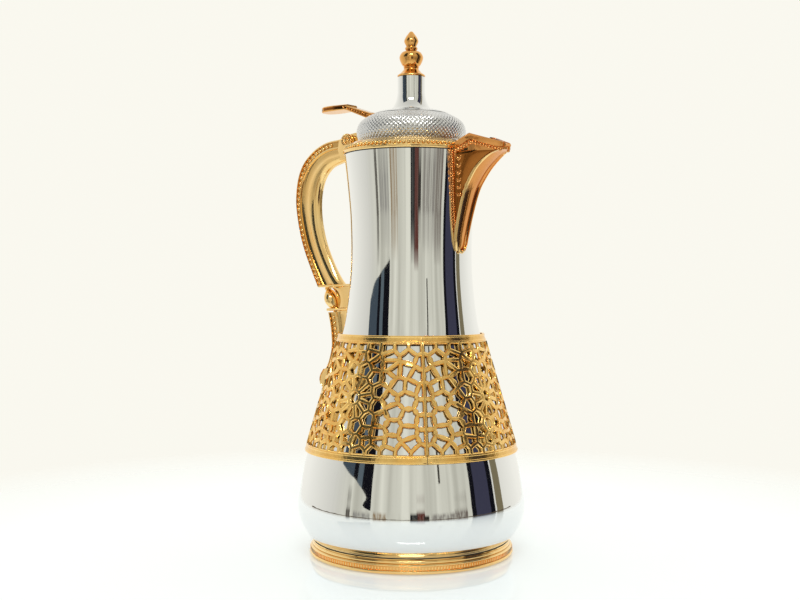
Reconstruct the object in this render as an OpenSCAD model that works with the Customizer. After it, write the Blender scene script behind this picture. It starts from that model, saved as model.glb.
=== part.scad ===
// Vacuum dallah: a Gulf coffee pot with a glass liner, a hinged lid and an openwork band.
// The origin is the centre of the base at table level. +Z is up, the spout points to +X
// and the handle to -X. All sizes are in millimetres.

/* [Body] */
// Largest radius of the body, low on the belly
belly_r = 69; // [68.5:0.1:69.5]
// Radius of the body at its waist
waist_r = 37; // [36.8:0.1:37.4]
// Height of the waist above the table
waist_z = 182; // [178:1:186]
// Radius of the body under the collar
neck_r = 40.9; // [40.7:0.1:41.1]
// Height of the collar's lower edge above the table
neck_z = 241.8; // [241.6:0.1:242]
// Wall thickness of the outer shell
shell_t = 0.8; // [0.6:0.1:1]

/* [Foot] */
// Radius of the foot at its flange
foot_r = 62; // [61.5:0.1:62.5]
// Height of the foot ring's top above the table
foot_z = 8.7; // [8.5:0.1:8.9]

/* [Openwork band] */
// Height of the band's lower edge above the table
band_z = 62.7; // [62:0.1:63.4]
// Height of the band
band_h = 70.7; // [70:0.1:71.4]
// Outer radius of the band's lower edge
band_low_r = 64.9; // [64.7:0.1:65.2]
// Outer radius of the band's upper edge
band_top_r = 44.4; // [44.2:0.1:44.7]
// Thickness of the band's metal
band_t = 0.9; // [0.7:0.1:1]
// Number of windows in each row of the band
band_columns = 20; // [16:2:24]

/* [Glass liner] */
// Largest inside radius of the liner
liner_belly_r = 45.5; // [44:0.5:46]
// Inside radius of the liner at the waist of the pot
liner_waist_r = 28; // [27:0.5:28.5]
// Inside radius of the liner's mouth
mouth_r = 18.5; // [18.3:0.1:18.8]
// Thickness of each glass wall
glass_t = 1.2; // [1:0.1:1.4]
// Vacuum gap between the two glass walls
vacuum_gap = 3; // [2.6:0.1:3.2]

/* [Lid] */
// Largest radius of the knurled dome
dome_r = 33.4; // [33.2:0.1:33.6]
// Radius of the neck under the finial
lid_neck_r = 8.4; // [8:0.1:8.8]
// Height of the finial's tip above the table
tip_z = 318.3; // [317:0.1:319]

/* [Hinge] */
// Distance of the hinge pin behind the axis of the pot
hinge_x = 48; // [47.8:0.1:48.2]
// Height of the hinge pin above the table
hinge_z = 254.8; // [254.6:0.1:255]
// Radius of the hinge pin
pin_r = 1.5; // [1.4:0.1:1.6]
// Clearance of the pin in the lid's knuckle
pin_gap = 0.05; // [0.03:0.01:0.08]

/* [Handle] */
// Width of the grip
grip_w = 10; // [9:0.5:11]

/* [Spout] */
// Distance of the spout's tip in front of the axis of the pot
spout_x = 72; // [71.6:0.1:72.4]
// Height of the spout's tip above the table
spout_z = 243.8; // [243.5:0.1:244]
// Half the width of the spout where it meets the collar
spout_root_w = 10; // [9.8:0.1:10.2]

/* [Hidden] */

$fn = 96;
gap = 0.1;            // between pieces that are fixed to each other
lid_gap = 0.25;       // between the lid and the pot
far = 200;            // longer than any cut needs
gold = "#d8a03c";
chrome = "#c4c8cc";
steel = "#8f9498";
black = "#1c1c1e";
glass = "#b9c6cc";
plastic = "#e6dfd0";

foot_in_r = 55.2;     // inside of the foot ring and its seal
base_lift = 0.5;      // metal stays this far off the table
seal_t = 0.6;         // height of the dark seal rings
pad_h = 2.5;
base_bore_r = 53;     // the liner passes through here
collar_z = neck_z + seal_t;
collar_r = neck_r + 0.9;
collar_top_z = collar_z + 6.9;
collar_in_r = 34.2;
skirt_r = neck_r - shell_t - 0.2;
skirt_z = neck_z - 4;               // the collar reaches this far down inside the body
funnel_r = 36.4;
seat_z = collar_z + 1.1;            // flat seat for the stopper's seal
seat_r = 25;
throat_r = mouth_r + 0.7;
lip_z = 236.4;                      // top of the glass lip
gasket_z = lip_z + 2.6;
liner_z = 26;                       // lowest point inside the liner
wall_out = 2 * glass_t + vacuum_gap;
dome_z = collar_top_z + lid_gap;
crown_z = 269.2;
notch_w = 15;                       // width of the pour notch
knuckle_w = 7;
ear_w = 2.8;
ear_in = knuckle_w / 2 + lid_gap;   // inner face of each hinge ear
ear_out = ear_in + ear_w;
knuckle_r = 4.4;
knuckle_room = 1.2;                 // free space round the knuckle
screw_r = 1.5;

// A smooth curve through the points p, with n steps between neighbours
function between(a, b, c, d, t) =
    0.5 * (2 * b + (c - a) * t + (2 * a - 5 * b + 4 * c - d) * t * t
        + (3 * b - a - 3 * c + d) * t * t * t);
function curve(p, n = 5) = [
    for (i = [0 : len(p) - 2], k = [0 : n - 1])
        between(p[max(i - 1, 0)], p[i], p[i + 1], p[min(i + 2, len(p) - 1)], k / n),
    p[len(p) - 1]
];
// The same path moved sideways by d; positive is to its right
function side_of(p, i) =
    let (t = p[min(i + 1, len(p) - 1)] - p[max(i - 1, 0)]) [t[1], -t[0]] / norm(t);
function shifted(p, d) = [for (i = [0 : len(p) - 1]) p[i] + d * side_of(p, i)];
// The same, kept on the axis at its first point
function shifted_from_axis(p, d) =
    let (s = shifted(p, d)) [for (i = [0 : len(s) - 1]) i == 0 ? [0, s[0][1]] : s[i]];
function reversed(p) = [for (i = [len(p) - 1 : -1 : 0]) p[i]];
function lerp(a, b, t) = a + (b - a) * t;

// Outer outline of the body, from the foot up to the collar
body_path = curve([
    [59.6, foot_z + seal_t],
    [65.3, 16],
    [belly_r - 0.6, 24.5],
    [belly_r, 32.5],
    [67.3, 42.5],
    [64.5, 56.4],
    [60.7, 71],
    [52.7, 98],
    [44.6, 125],
    [40.4, 141],
    [37.7, 164],
    [waist_r, waist_z],
    [37.5, 202.5],
    [38.5, 216],
    [39.7, 229],
    [neck_r, neck_z]
]);
// Inside of the glass, from its lowest point up to the lip
liner_path = curve([
    [0, liner_z],
    [20, liner_z + 2.2],
    [37, 37],
    [44, 52],
    [liner_belly_r, 70],
    [42.6, 96],
    [35.5, 123],
    [29.5, 147],
    [liner_waist_r, 170],
    [liner_waist_r, 196],
    [25, 211],
    [20, 221],
    [mouth_r, 229],
    [mouth_r, lip_z - 2]
], 4);
// Outer outline of the dome, from its rim up to the crown
dome_path = curve([
    [31.6, dome_z],
    [33.1, 253.4],
    [dome_r, 257.6],
    [31.2, 262.2],
    [26.4, 265.4],
    [20, 268.3],
    [12, crown_z]
]);
// The handle's outer and inner edges, from the hinge round to the lower end
grip_outer = curve([
    [-50, 256.6],
    [-57, 256.2],
    [-68, 255],
    [-78.6, 250.6],
    [-87.4, 243.4],
    [-92.6, 234],
    [-94.7, 221],
    [-93.6, 209],
    [-90, 194],
    [-84.3, 180],
    [-74.9, 161.7]
], 4);
grip_inner = curve([
    [-40, collar_z + 0.4],
    [-54, 241.8],
    [-66, 238.6],
    [-73, 231],
    [-76, 219],
    [-75.3, 205],
    [-71.2, 190],
    [-63.6, 175],
    [-54, 163],
    [-42, 155]
], 4);
// The lower bracket's outer edge, from the knop down to its curled foot
bracket_outer = curve([
    [-64.5, 158],
    [-63, 149.5],
    [-65.7, 145.2],
    [-63.3, 134],
    [-63.1, 122],
    [-66.4, 112],
    [-71.4, 105.5],
    [-72.1, 97.5]
], 4);
// The front of the spout, from its foot up to the lip, and half its width there
spout_front = [
    [37.8, 182.7, 3.6],
    [38.8, 187, 4.6],
    [39.4, 191.7, 5.2],
    [42.3, 204, 5.8],
    [46.6, 217.6, 6.3],
    [51.2, 225.6, 6.7],
    [56.9, 232.4, 6.8],
    [65.2, 238.6, 5.6],
    [spout_x - 0.6, 240.2, 2.6],
    [spout_x - 0.6, 252, 2.6]
];
spout_low_z = spout_front[0][1];
spout_corner = [53, 250];           // where the top edge turns, seen from the side
spout_corner_w = 11;
spout_floor_z = collar_z + 1.2;

module lathe(points) {
    rotate_extrude() polygon(points);
}

// Ring of rectangular section
module ring(inner, outer, low, high) {
    translate([0, 0, low])
        difference() {
            cylinder(r = outer, h = high - low);
            translate([0, 0, -1]) cylinder(r = inner, h = high - low + 2);
        }
}

// Everything inside the body's outline grown by d
module body_space(d) {
    lathe(concat([[0, 0]], shifted(body_path, d), [[0, neck_z]]));
}

// Everything inside the collar grown by d
module collar_space(d) {
    translate([0, 0, neck_z - d]) cylinder(r = collar_r + d, h = collar_top_z - neck_z);
}

// Everything inside the band grown by d
module band_space(d) {
    translate([0, 0, band_z - d])
        cylinder(r1 = band_low_r + d, r2 = band_top_r + d, h = band_h + 2 * d);
}

// A round screw or rivet along +X from the origin, head at the origin
module fastener(r, length, head_r, head_h) {
    rotate([0, 90, 0]) {
        cylinder(r = r, h = length);
        translate([0, 0, -head_h]) cylinder(r = head_r, h = head_h + 0.01);
    }
}

module handle_screw_places() {
    for (p = [[-skirt_r + 1.8, collar_z + 1.5], [-38.1, 150]])
        translate([p[0], 0, p[1]]) mirror([1, 0, 0]) children();
}

module spout_screw_places() {
    for (p = [[37, 212], [38.3, 228]])
        translate([p[0], 0, p[1]]) children();
}

module body_shell() {
    inner = shifted(body_path, -shell_t);
    low = body_path[0][1];
    color(chrome)
        difference() {
            lathe(concat([[foot_in_r, low], body_path[0]], body_path,
                reversed(inner), [[foot_in_r, low + shell_t]]));
            handle_screw_places() fastener(screw_r + gap, 12, screw_r + gap, 3);
            spout_screw_places() fastener(screw_r + gap, 12, screw_r + gap, 3);
        }
}

module openwork_band() {
    rows = 5;
    border = 7;
    row_step = (band_h - 2 * border) / (rows - 1);
    color(gold)
        difference() {
            lathe([
                [band_low_r - band_t, band_z], [band_low_r, band_z],
                [band_top_r, band_z + band_h], [band_top_r - band_t, band_z + band_h]
            ]);
            for (row = [0 : rows - 1], column = [0 : band_columns - 1])
                let (
                    z = band_z + border + row * row_step,
                    r = lerp(band_low_r, band_top_r, (z - band_z) / band_h),
                    window_r = 0.4 * 2 * PI * r / band_columns * (row % 2 == 0 ? 1 : 0.85),
                    turn = (column + (row % 2) / 2) * 360 / band_columns
                )
                    rotate([0, 0, turn]) translate([r - 4, 0, z]) rotate([0, 90, 0])
                        cylinder(r = min(window_r, 0.46 * row_step), h = 8, $fn = 8);
        }
}

module neck_collar() {
    color(gold)
        difference() {
            lathe([
                [skirt_r - 1.5, skirt_z], [skirt_r - 0.6, skirt_z], [skirt_r, collar_z],
                [collar_r - 0.2, collar_z], [collar_r, collar_z + 3.9],
                [collar_r - 0.8, collar_z + 5.1], [collar_in_r + 0.8, collar_top_z],
                [collar_in_r, collar_top_z - 0.6], [collar_in_r, collar_top_z - 1.6],
                [skirt_r - 1.5, collar_z + 3.8]
            ]);
            translate([collar_in_r - 4, -notch_w / 2, spout_floor_z])
                cube([20, notch_w, 20]);
            handle_screw_places() fastener(screw_r + gap, 12, screw_r + gap, 0.5);
        }
}

module collar_seal() {
    color(black) ring(skirt_r + 0.05, neck_r + 0.1, neck_z + gap, collar_z);
}

module foot_ring() {
    color(gold)
        lathe([
            [foot_in_r, base_lift], [foot_r - 1, base_lift], [foot_r, base_lift + 1],
            [foot_r, 3.4], [foot_r - 0.8, 4.2], [foot_r - 0.8, 5.6], [60.4, 6.6],
            [60, foot_z], [foot_in_r, foot_z]
        ]);
}

module foot_seal() {
    color(black) ring(foot_in_r, 59.3, foot_z, foot_z + seal_t);
}

// The bayonet thread inside is left plain
module base_ring() {
    top = foot_z + seal_t + shell_t;
    color(plastic)
        lathe([
            [base_bore_r, base_lift + pad_h], [foot_in_r - gap, base_lift + pad_h],
            [foot_in_r - gap, top + gap], [foot_in_r + 3, top + gap],
            [foot_in_r + 3, top + 2], [base_bore_r, top + 2]
        ]);
}

module base_cap() {
    floor_top = pad_h + 2.2;
    rim_top = floor_top + 4;
    color(black)
        difference() {
            lathe([
                [0, pad_h], [base_bore_r - 0.2, pad_h], [base_bore_r - 0.2, rim_top],
                [base_bore_r - 2.6, rim_top], [base_bore_r - 2.6, floor_top],
                [28, floor_top], [28, 12], [26, 12], [26, floor_top], [0, floor_top]
            ]);
            // two slots for a flat key
            for (turn = [0, 180])
                rotate([0, 0, turn]) translate([47, -6, pad_h - 1]) cube([3, 12, 2.4]);
        }
}

module base_pad() {
    color(black)
        lathe([
            [0, 0], [42.4, 0], [43, 0.6], [43, pad_h], [0, pad_h]
        ]);
}

module liner_cushion() {
    color(black)
        difference() {
            translate([0, 0, pad_h + 2.2]) cylinder(r = 25.9, h = 20);
            lathe(concat(shifted_from_axis(liner_path, wall_out + gap), [[0, lip_z]]));
            translate([0, 0, -1]) cylinder(r = 6, h = far);
        }
}

// The glass walls meet at the lip; the tip under the outer one is where it was sealed
module liner_outer_wall() {
    color(glass) {
        lathe(concat(
            shifted_from_axis(liner_path, wall_out),
            [[mouth_r + wall_out, lip_z - 1.4], [mouth_r + wall_out - 1, lip_z - 0.4],
                [mouth_r + glass_t + 0.5, lip_z], [mouth_r + glass_t + 0.02, lip_z],
                [mouth_r + glass_t + 0.02, lip_z - 1.2],
                [mouth_r + wall_out - glass_t, lip_z - 2]],
            reversed(shifted_from_axis(liner_path, wall_out - glass_t))
        ));
        translate([0, 0, liner_z - wall_out - 5])
            lathe([[0, 0], [0.8, 0.6], [2.2, 5.6], [0, 5.6]]);
    }
}

module liner_inner_wall() {
    color(glass)
        lathe(concat(
            shifted_from_axis(liner_path, glass_t),
            [[mouth_r + glass_t, lip_z], [mouth_r + 0.5, lip_z], [mouth_r, lip_z - 0.5]],
            reversed(liner_path)
        ));
}

module liner_spacers() {
    color(plastic)
        for (turn = [30, 150, 270])
            rotate([0, 0, turn])
                translate([liner_waist_r + glass_t + gap, 0, 183])
                    rotate([0, 90, 0]) cylinder(r = 4, h = vacuum_gap - 4 * gap);
}

module mouth_gasket() {
    out = mouth_r + wall_out;
    color("#d9d4ca")
        lathe([
            [throat_r - 0.2, lip_z + gap], [out + gap, lip_z + gap], [out + gap, lip_z - 5],
            [out + 1.6, lip_z - 5], [out + 1.6, gasket_z], [throat_r - 0.2, gasket_z]
        ]);
}

module mouth_funnel() {
    out = mouth_r + wall_out;
    color(plastic)
        difference() {
            lathe([
                [throat_r, gasket_z], [out + 1.7, gasket_z], [out + 1.7, lip_z - 4],
                [out + 3.4, lip_z - 4], [out + 3.4, gasket_z - 1], [funnel_r, collar_z - 2],
                [funnel_r, collar_z + 3.4], [collar_in_r - 0.3, collar_z + 5],
                [collar_in_r - 2, collar_z + 5], [seat_r, seat_z], [throat_r, seat_z]
            ]);
            translate([seat_r - 3, -notch_w / 2, seat_z]) cube([20, notch_w, 20]);
        }
}

// The grip and the bracket are one casting, seen here from the side
module handle_outline() {
    polygon(concat(grip_outer, [[-72, 159.4], [-67.5, 161]], bracket_outer,
        [[-66, 96.6], [-60, 100], [-50, 103.5], [-30, 120], [-30, 155]],
        reversed(grip_inner)));
}

module handle() {
    block_z = collar_z + 1.4;
    block = [hinge_x - 38, 2 * ear_out, 7.4];
    room_r = knuckle_r + knuckle_room;
    color(gold)
        difference() {
            union() {
                rotate([90, 0, 0]) translate([0, 0, -grip_w / 2])
                    linear_extrude(grip_w) handle_outline();
                translate([-hinge_x, -ear_out, block_z]) cube(block);
                // hinge ears
                for (side = [-1, 1])
                    translate([-hinge_x, side * (ear_in + ear_w / 2), 0]) rotate([90, 0, 0])
                        translate([0, 0, -ear_w / 2]) {
                            translate([0, hinge_z, 0]) cylinder(r = knuckle_r, h = ear_w);
                            translate([-knuckle_r, block_z, 0])
                                cube([2 * knuckle_r, hinge_z - block_z, ear_w]);
                        }
                // bulb knop between the grip and the bracket
                translate([-66.6, 0, 153.8]) rotate([0, -24, 0]) lathe([
                    [0, -8], [1.5, -8], [1.5, -6.4], [3, -4.4], [3.9, -1.4], [3.9, 0.6],
                    [3.2, 2.9], [1.5, 5.4], [1.5, 9], [0, 9]
                ]);
            }
            // room for the lid's knuckle and arm
            translate([-hinge_x, 0, hinge_z]) rotate([90, 0, 0])
                translate([0, 0, -ear_in]) cylinder(r = room_r, h = 2 * ear_in);
            translate([-hinge_x, -ear_in, hinge_z - room_r]) cube([40, 2 * ear_in, 30]);
            translate([-hinge_x, -far / 2, hinge_z]) rotate([-90, 0, 0])
                cylinder(r = pin_r, h = far);
            body_space(gap);
            band_space(gap);
            collar_space(gap);
            handle_screw_places() fastener(screw_r, 12, screw_r, 3);
        }
}

module handle_screws() {
    color(steel) handle_screw_places() fastener(screw_r - 0.02, 11, 2.4, 1.4);
}

// One level of the spout: root, fullest point and front, mirrored
function spout_level(front) =
    let (
        z = front[1],
        rise = min(1, (z - spout_low_z) / (spout_corner[1] - spout_low_z)),
        root = 30,
        w = lerp(3.6, spout_root_w, pow(rise, 0.8)),
        h = front[2],
        full = lerp(36, front[0], 0.48),
        full_w = lerp(w, h, 0.48) + 0.3 + (spout_corner_w - 6.6) * pow(rise, 3),
        round = 0.35 * h
    )
    [
        [root, -w, z], [full, -full_w, z], [front[0] - round / 2, -h, z],
        [front[0] + round / 3, -h / 2, z], [front[0] + round / 3, h / 2, z],
        [front[0] - round / 2, h, z], [full, full_w, z], [root, w, z]
    ];

module spout_blank() {
    n = len(spout_level(spout_front[0]));
    last = len(spout_front) - 1;
    points = [for (front = spout_front) each spout_level(front)];
    walls = [
        for (i = [0 : last - 1], k = [0 : n - 1])
            let (a = i * n + k, b = i * n + (k + 1) % n)
                each [[a, a + n, b], [b, a + n, b + n]]
    ];
    floor_face = [[for (k = [0 : n - 1]) k]];
    roof_face = [[for (k = [n - 1 : -1 : 0]) last * n + k]];
    polyhedron(points, concat(walls, floor_face, roof_face));
}

module spout() {
    color(gold)
        difference() {
            spout_blank();
            // top edge: up from the collar to the corner, then down to the lip
            rotate([90, 0, 0]) translate([0, 0, -far / 2]) linear_extrude(far) polygon([
                [0, spout_corner[1] - 20], [spout_corner[0], spout_corner[1]],
                [spout_x, spout_z], [spout_x + 5, spout_z], [spout_x + 5, 270], [0, 270]
            ]);
            // open channel from the notch to the lip
            translate([30, 0, spout_floor_z]) rotate([0, 1.6, 0])
                linear_extrude(20) polygon([
                    [0, -notch_w / 2], [12, -notch_w / 2], [23, -9.4], [40.4, -1.5], [46, -1.5],
                    [46, 1.5], [40.4, 1.5], [23, 9.4], [12, notch_w / 2], [0, notch_w / 2]
                ]);
            body_space(gap);
            collar_space(gap);
            translate([0, 0, collar_z - 1]) cylinder(r = collar_r + 0.3, h = 30);
            spout_screw_places() fastener(screw_r, 6.3, screw_r, 3);
        }
}

module spout_screws() {
    color(steel) spout_screw_places() fastener(screw_r - 0.02, 6, 2.4, 1.2);
}

module hinge_pin() {
    color(steel)
        translate([-hinge_x, -ear_out, hinge_z]) rotate([-90, 0, 0])
            cylinder(r = pin_r - 0.01, h = 2 * ear_out);
}

module hinge_caps() {
    color(gold)
        for (side = [-1, 1])
            translate([-hinge_x, side * (ear_out + 0.05), hinge_z]) rotate([-90 * side, 0, 0])
                lathe([[0, 0], [3.7, 0], [3.7, 0.5], [3, 1.1], [1.7, 1.5], [0, 1.6]]);
}

// Everything inside the dome's outline grown by d
module dome_space(d) {
    lathe(concat([[0, dome_z]], shifted(dome_path, d), [[0, crown_z + d]]));
}

module arm_rivet_places() {
    for (y = [-2, 2])
        translate([-dome_r + 2, y, hinge_z + 1.6]) mirror([1, 0, 0]) children();
}

module hinge_arm() {
    color(gold)
        difference() {
            rotate([90, 0, 0]) translate([0, 0, -knuckle_w / 2]) linear_extrude(knuckle_w)
                union() {
                    translate([-hinge_x, hinge_z]) circle(r = knuckle_r);
                    polygon([
                        [-hinge_x, hinge_z - 2.4], [-hinge_x + 6, hinge_z - 3.4],
                        [-28, hinge_z - 3.4], [-28, 260.6], [-hinge_x + 10, 260.2],
                        [-hinge_x, hinge_z + knuckle_r]
                    ]);
                }
            translate([-hinge_x, -far / 2, hinge_z]) rotate([-90, 0, 0])
                cylinder(r = pin_r - 0.01 + pin_gap, h = far);
            dome_space(0.05);
            arm_rivet_places() fastener(1.25, 6, 1.25, 3);
        }
}

module arm_rivets() {
    color(steel) arm_rivet_places() fastener(1.2, 5.8, 2, 1);
}

module lever_rivet_places() {
    for (y = [-2.6, 2.6]) translate([-18, y, 266.5]) rotate([0, -9, 0]) children();
}

module lid_dome() {
    inner = shifted(dome_path, -0.9);
    color(chrome)
        difference() {
            lathe(concat(dome_path, [[2.3, crown_z], [2.3, crown_z - 0.9]], reversed(inner)));
            arm_rivet_places() fastener(1.25, 6, 1.25, 3);
            lever_rivet_places() translate([0, 0, -4]) cylinder(r = 1.25, h = 10);
        }
}

module lid_neck() {
    flare = curve([
        [14.5, crown_z + gap], [12.4, crown_z + 0.9], [10.4, 273], [9.1, 276.2], [lid_neck_r, 280]
    ], 4);
    color(chrome)
        lathe(concat([[2.3, crown_z + gap]], flare, [[lid_neck_r, 290.2], [2.3, 290.2]]));
}

module finial() {
    low = 290.3;
    color(gold)
        difference() {
            lathe(concat(
                [[0, low], [lid_neck_r, low], [8.5, low + 0.6]],
                curve([[8.1, low + 1.2], [5.2, 293.2], [3.7, 295.4]], 4),
                curve([[3.9, 296.2], [6, 298], [7.2, 301.9], [6, 304.8], [2.9, 306.3]], 4),
                curve([[2.4, 306.9], [2.6, 307.9], [3.2, 309.3], [2.6, 310.2]], 4),
                curve([[3.6, 311.2], [4.3, 312.4], [3.6, 314.6], [2, 316.6], [0, tip_z]], 4)
            ));
            translate([0, 0, low - 1]) cylinder(r = 2.05, h = 9);
        }
}

module finial_stud() {
    color(steel) translate([0, 0, 263.5]) cylinder(r = 2, h = 33.5);
}

module finial_washer() {
    color(steel) ring(2.2, 6, crown_z - 2, crown_z - 1);
}

module finial_nut() {
    color(steel)
        translate([0, 0, crown_z - 5.3]) difference() {
            cylinder(r = 4, h = 3.2, $fn = 6);
            translate([0, 0, -1]) cylinder(r = 2.05, h = 6);
        }
}

// Side outline of the lever: foot on the crown, slope, kink, pad
module thumb_lever() {
    color(gold)
        difference() {
            union() {
                rotate([90, 0, 0]) translate([0, 0, -5]) linear_extrude(10) polygon([
                    [-14.4, 268.4], [-14.4, 271], [-22, 270.2], [-28.4, 270.4],
                    [-49, 277.4], [-52, 277.6], [-52, 274.9], [-49, 274.4],
                    [-32.6, 267.9], [-24, 264.6], [-20, 266]
                ]);
                translate([0, 0, 274.9]) linear_extrude(3) polygon([
                    [-48.5, -5], [-56, -6.2], [-64, -6.5], [-69.6, -5.6], [-72.8, -2.6],
                    [-72.8, 2.6], [-69.6, 5.6], [-64, 6.5], [-56, 6.2], [-48.5, 5]
                ]);
            }
            dome_space(0.05);
            lever_rivet_places() translate([0, 0, -4]) cylinder(r = 1.25, h = 12);
        }
}

module lever_rivets() {
    color(gold)
        lever_rivet_places() {
            cylinder(r = 1.2, h = 4.6);
            cylinder(r = 2, h = 0.8);
        }
}

module stopper_screw_places() {
    for (turn = [60, 180, 300]) rotate([0, 0, turn]) translate([20.4, 0, 0]) children();
}

module lid_plate() {
    color(plastic)
        difference() {
            lathe([
                [0, dome_z + 0.3], [30.2, dome_z + 0.3], [30.8, dome_z + 0.8],
                [31.2, dome_z + 2.6], [0, dome_z + 2.6]
            ]);
            stopper_screw_places() translate([0, 0, 240]) cylinder(r = screw_r + gap, h = 20);
        }
}

module stopper() {
    flange_z = seat_z + lid_gap + 2.2;
    color(plastic)
        difference() {
            lathe([
                [0, 232.2], [14, 232.2], [15, 233.2], [17.4, flange_z - 2.3],
                [17.4, flange_z], [23.4, flange_z], [23.4, dome_z + 0.2], [13.6, dome_z + 0.2],
                [13.6, 234], [0, 234]
            ]);
            stopper_screw_places() translate([0, 0, flange_z + 1])
                cylinder(r = screw_r - 0.2, h = 20);
        }
}

module stopper_seal() {
    color("#d9d4ca") ring(17.5, 23.4, seat_z + lid_gap, seat_z + lid_gap + 2.1);
}

module stopper_foam() {
    color("#f0efe8") ring(0, 13.4, 234.1, dome_z + 0.1);
}

module stopper_screws() {
    color(steel)
        stopper_screw_places() translate([0, 0, dome_z + 2.6]) {
            translate([0, 0, -4.6]) cylinder(r = screw_r - 0.22, h = 4.7);
            cylinder(r = 2.6, h = 1.6);
        }
}

body_shell();
openwork_band();
neck_collar();
collar_seal();
foot_ring();
foot_seal();
base_ring();
base_cap();
base_pad();
liner_cushion();
liner_outer_wall();
liner_inner_wall();
liner_spacers();
mouth_gasket();
mouth_funnel();
handle();
handle_screws();
spout();
spout_screws();
hinge_pin();
hinge_caps();
hinge_arm();
arm_rivets();
lid_dome();
lid_neck();
finial();
finial_stud();
finial_washer();
finial_nut();
thumb_lever();
lever_rivets();
lid_plate();
stopper();
stopper_seal();
stopper_foam();
stopper_screws();
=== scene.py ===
import math

import bmesh
import bpy
import numpy as np
from mathutils import Matrix, Vector
from mathutils.geometry import delaunay_2d_cdt


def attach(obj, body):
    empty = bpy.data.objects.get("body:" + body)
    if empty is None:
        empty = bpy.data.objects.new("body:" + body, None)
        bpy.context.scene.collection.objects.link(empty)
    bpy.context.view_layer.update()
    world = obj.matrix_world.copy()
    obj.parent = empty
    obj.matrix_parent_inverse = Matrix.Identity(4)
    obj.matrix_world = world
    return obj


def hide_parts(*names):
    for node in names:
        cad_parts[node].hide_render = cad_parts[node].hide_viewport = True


# The looks of a dallah coffee pot, built round its CAD frame. Shapes are in millimetres, in the
# CAD's own frame: +Z up, the spout to +X, the handle to -X. MM turns them into metres.

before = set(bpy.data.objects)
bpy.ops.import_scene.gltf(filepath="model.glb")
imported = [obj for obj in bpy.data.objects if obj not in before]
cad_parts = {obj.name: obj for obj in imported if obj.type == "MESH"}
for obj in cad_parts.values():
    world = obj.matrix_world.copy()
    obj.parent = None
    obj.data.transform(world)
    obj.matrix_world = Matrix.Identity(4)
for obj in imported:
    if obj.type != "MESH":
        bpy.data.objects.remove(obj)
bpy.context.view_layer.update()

MM = 0.001

# Heights and radii that several pieces share
BODY_TOP = 241.8
COLLAR_Z = 242.4
COLLAR_R = 41.8
COLLAR_TOP = 249.3
COLLAR_IN_R = 34.2
FOOT_TOP = 8.7
SEAT_R = 55.4
SHELL_T = 0.8
BAND_Z = 62.7
BAND_H = 70.7
BAND_LOW_R = 64.9
BAND_TOP_R = 44.4
BAND_T = 0.9
DOME_Z = 249.55
CROWN_Z = 269.2
NECK_R = 8.4
NECK_TOP = 290.2
TIP_Z = 318.3
HINGE_X = 48
HINGE_Z = 254.8
KNUCKLE_R = 4.4
EAR_IN = 3.75
EAR_OUT = 6.55
NOTCH_W = 15

# Camera: its turn from -Y towards +X, its distance from the pot's axis and its height
CAMERA_TURN = math.radians(39)
CAMERA_FAR = 0.687
CAMERA_HEIGHT = 0.1597


# ---------------------------------------------------------------- shape tools
def lerp(a, b, t):
    return a + (b - a) * t


def curve(points, steps=6):
    """A smooth curve through the points, with that many steps between neighbours."""
    out = []
    for i in range(len(points) - 1):
        a, b = points[max(i - 1, 0)], points[i]
        c, d = points[i + 1], points[min(i + 2, len(points) - 1)]
        for k in range(steps):
            t = k / steps
            out.append(tuple(
                0.5 * (2 * q + (r - p) * t + (2 * p - 5 * q + 4 * r - s) * t * t
                       + (3 * q - p - 3 * r + s) * t ** 3)
                for p, q, r, s in zip(a, b, c, d)))
    return out + [tuple(points[-1])]


def resampled(points, count):
    """That many points at even distances along a path."""
    p = np.array(points, float)
    along = np.concatenate([[0], np.cumsum(np.linalg.norm(np.diff(p, axis=0), axis=1))])
    wanted = np.linspace(0, along[-1], count)
    return [tuple(v) for v in np.stack([np.interp(wanted, along, p[:, k]) for k in range(p.shape[1])], 1)]


def path_length(points):
    return float(np.linalg.norm(np.diff(np.array(points, float), axis=0), axis=1).sum())


def shifted(path, d):
    """A path in a plane moved sideways by d; positive is to its right."""
    out = []
    for i, p in enumerate(path):
        a, b = path[max(i - 1, 0)], path[min(i + 1, len(path) - 1)]
        run, rise = b[0] - a[0], b[1] - a[1]
        size = math.hypot(run, rise)
        out.append((p[0] + d * rise / size, p[1] - d * run / size))
    return out


def merged(*parts):
    """Several (points, faces) parts as one."""
    points, faces = [], []
    for more_points, more_faces in parts:
        base = len(points)
        points += more_points
        faces += [tuple(i + base for i in face) for face in more_faces]
    return points, faces


def placed(part, matrix):
    return [tuple(matrix @ Vector(p)) for p in part[0]], part[1]


def mirrored_y(part):
    return [(x, -y, z) for x, y, z in part[0]], [tuple(reversed(f)) for f in part[1]]


def turned(columns, closed=True):
    """Outlines (radius, height) of equal length, set evenly round the Z axis and joined."""
    n, count = len(columns[0]), len(columns)
    points, faces = [], []
    for i, column in enumerate(columns):
        angle = math.tau * i / count
        points += [(r * math.cos(angle), r * math.sin(angle), z) for r, z in column]
        j = (i + 1) % count
        for k in range(n if closed else n - 1):
            m = (k + 1) % n
            faces.append((i * n + k, j * n + k, j * n + m, i * n + m))
    return points, faces


def lathe(profile, segments=160, closed=True):
    """The profile (radius, height) turned round the Z axis."""
    return turned([profile] * segments, closed)


def loft(rings):
    """Closed rings of equal length joined one to the next, with both ends capped."""
    n = len(rings[0])
    points = [p for ring in rings for p in ring]
    faces = [(i * n + k, i * n + (k + 1) % n, (i + 1) * n + (k + 1) % n, (i + 1) * n + k)
             for i in range(len(rings) - 1) for k in range(n)]
    faces.append(tuple(range(n)))
    faces.append(tuple(len(points) - n + k for k in reversed(range(n))))
    return points, faces


def slab(outline, low, high):
    """An outline of (x, z) points pulled out along Y."""
    return loft([[(x, low, z) for x, z in outline], [(x, high, z) for x, z in outline]])


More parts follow.
